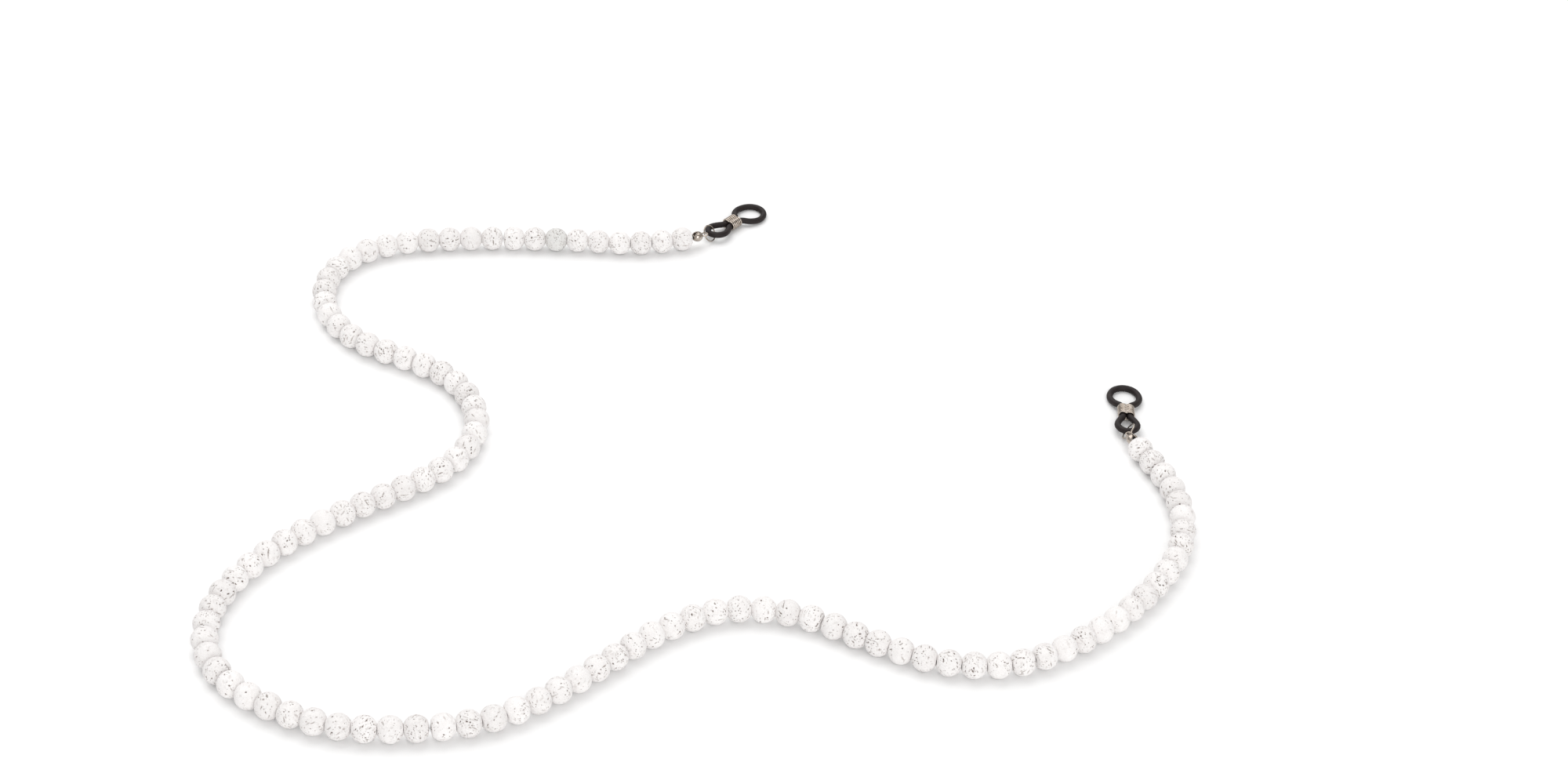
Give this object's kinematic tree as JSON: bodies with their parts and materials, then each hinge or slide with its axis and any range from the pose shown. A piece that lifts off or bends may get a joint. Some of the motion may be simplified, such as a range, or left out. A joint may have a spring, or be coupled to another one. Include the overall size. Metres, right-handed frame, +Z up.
{
  "type": "eyeglass retainer strap",
  "caption": "Beaded eyeglass strap of drilled stone beads on a cord, with a rubber loop and sliding wire coil at each end to grip a temple arm.",
  "frame": {"origin": "centre of the laid-out strap's footprint, on the surface that it lies on", "axes": "+Z up from the surface; +X and +Y lie in the surface, +Y away from the viewer"},
  "size_m": [0.2434, 0.2432, 0.0067],
  "materials": {
    "lava_stone": "matte, porous stone",
    "cord_fibre": "matte waxed cord",
    "nickel_silver": "bright plated wire and sheet",
    "black_rubber": "matte"
  },
  "bodies": {
    "run_01": {"beads_01": "lava_stone", "beads_02": "lava_stone", "beads_03": "lava_stone", "cord_01": "cord_fibre"},
    "run_02": {"beads_04": "lava_stone", "beads_05": "lava_stone", "beads_06": "lava_stone", "cord_02": "cord_fibre"},
    "run_03": {"beads_07": "lava_stone", "beads_08": "lava_stone", "beads_09": "lava_stone", "cord_03": "cord_fibre"},
    "run_04": {"beads_10": "lava_stone", "beads_11": "lava_stone", "beads_12": "lava_stone", "cord_04": "cord_fibre"},
    "run_05": {"beads_13": "lava_stone", "beads_14": "lava_stone", "beads_15": "lava_stone", "cord_05": "cord_fibre"},
    "run_06": {"beads_16": "lava_stone", "beads_17": "lava_stone", "beads_18": "lava_stone", "cord_06": "cord_fibre"},
    "run_07": {"beads_19": "lava_stone", "beads_20": "lava_stone", "beads_21": "lava_stone", "cord_07": "cord_fibre"},
    "run_08": {"beads_22": "lava_stone", "beads_23": "lava_stone", "beads_24": "lava_stone", "cord_08": "cord_fibre"},
    "run_09": {"beads_25": "lava_stone", "beads_26": "lava_stone", "beads_27": "lava_stone", "cord_09": "cord_fibre"},
    "run_10": {"beads_28": "lava_stone", "beads_29": "lava_stone", "beads_30": "lava_stone", "cord_10": "cord_fibre"},
    "run_11": {"beads_31": "lava_stone", "beads_32": "lava_stone", "beads_33": "lava_stone", "cord_11": "cord_fibre"},
    "run_12": {"beads_34": "lava_stone", "beads_35": "lava_stone", "beads_36": "lava_stone", "cord_12": "cord_fibre"},
    "tip_left": {"bead_tip_left": "nickel_silver", "cord_end_left": "cord_fibre"},
    "ring_left": {"jump_ring_left": "nickel_silver"},
    "loop_left": {"rubber_loop_left": "black_rubber"},
    "coil_left": {"wire_coil_left": "nickel_silver"},
    "tip_right": {"bead_tip_right": "nickel_silver", "cord_end_right": "cord_fibre"},
    "ring_right": {"jump_ring_right": "nickel_silver"},
    "loop_right": {"rubber_loop_right": "black_rubber"},
    "coil_right": {"wire_coil_right": "nickel_silver"}
  },
  "joints": [
    {"name": "strand_flex_01", "type": "hinge", "parent": "run_02", "child": "run_01", "pos_m": [-0.06708, 0.09157, 0.00335], "axis": [0, 0, 1], "range_deg": [-22, 25]},
    {"name": "strand_flex_02", "type": "hinge", "parent": "run_03", "child": "run_02", "pos_m": [-0.112, 0.0683, 0.00335], "axis": [0, 0, 1], "range_deg": [-9, 38]},
    {"name": "strand_flex_03", "type": "hinge", "parent": "run_04", "child": "run_03", "pos_m": [-0.0838, 0.02855, 0.00335], "axis": [0, 0, -1], "range_deg": [-23, 24]},
    {"name": "strand_flex_04", "type": "hinge", "parent": "run_05", "child": "run_04", "pos_m": [-0.0691, -0.01616, 0.00335], "axis": [0, 0, 1], "range_deg": [-35, 12]},
    {"name": "strand_flex_05", "type": "hinge", "parent": "run_06", "child": "run_05", "pos_m": [-0.10715, -0.05431, 0.00335], "axis": [0, 0, -1], "range_deg": [-28, 19]},
    {"name": "strand_flex_06", "type": "hinge", "parent": "run_06", "child": "run_07", "pos_m": [-0.11117, -0.10378, 0.00335], "axis": [0, 0, -1], "range_deg": [-14, 33]},
    {"name": "strand_flex_07", "type": "hinge", "parent": "run_07", "child": "run_08", "pos_m": [-0.06126, -0.11653, 0.00335], "axis": [0, 0, 1], "range_deg": [-27, 20]},
    {"name": "strand_flex_08", "type": "hinge", "parent": "run_08", "child": "run_09", "pos_m": [-0.019, -0.08502, 0.00335], "axis": [0, 0, -1], "range_deg": [-23, 24]},
    {"name": "strand_flex_09", "type": "hinge", "parent": "run_09", "child": "run_10", "pos_m": [0.02793, -0.06929, 0.00335], "axis": [0, 0, -1], "range_deg": [-31, 16]},
    {"name": "strand_flex_10", "type": "hinge", "parent": "run_10", "child": "run_11", "pos_m": [0.0788, -0.0785, 0.00335], "axis": [0, 0, -1], "range_deg": [-13, 34]},
    {"name": "strand_flex_11", "type": "hinge", "parent": "run_11", "child": "run_12", "pos_m": [0.11414, -0.03869, 0.00335], "axis": [0, 0, 1], "range_deg": [-29, 18]},
    {"name": "bead_tip_flex_left", "type": "hinge", "parent": "run_01", "child": "tip_left", "pos_m": [-0.0139, 0.0982, 0.00335], "axis": [0, 0, 1], "range_deg": [-36, 11]},
    {"name": "jump_ring_swing_left", "type": "hinge", "parent": "tip_left", "child": "ring_left", "pos_m": [-0.01051, 0.10032, 0.00335], "axis": [0, 0, -1], "range_deg": [-39, 81]},
    {"name": "rubber_loop_lift_left", "type": "hinge", "parent": "ring_left", "child": "loop_left", "pos_m": [-0.00888, 0.10249, 0.00225], "axis": [0.7986, -0.6018, 0], "range_deg": [0, 90]},
    {"name": "wire_coil_slide_left", "type": "slide", "parent": "loop_left", "child": "coil_left", "axis": [0.6018, 0.7986, 0], "range_m": [-0.0015, 0.004], "deforming": ["rubber_loop_left"]},
    {"name": "bead_tip_flex_right", "type": "hinge", "parent": "run_12", "child": "tip_right", "pos_m": [0.10758, 0.01254, 0.00335], "axis": [0, 0, -1], "range_deg": [-33, 14]},
    {"name": "jump_ring_swing_right", "type": "hinge", "parent": "tip_right", "child": "ring_right", "pos_m": [0.10635, 0.01635, 0.00335], "axis": [0, 0, 1], "range_deg": [-42, 78]},
    {"name": "rubber_loop_lift_right", "type": "hinge", "parent": "ring_right", "child": "loop_right", "pos_m": [0.10635, 0.01906, 0.00225], "axis": [1, 0, 0], "range_deg": [0, 90]},
    {"name": "wire_coil_slide_right", "type": "slide", "parent": "loop_right", "child": "coil_right", "axis": [0, 1, 0], "range_m": [-0.0015, 0.004], "deforming": ["rubber_loop_right"]}
  ]
}
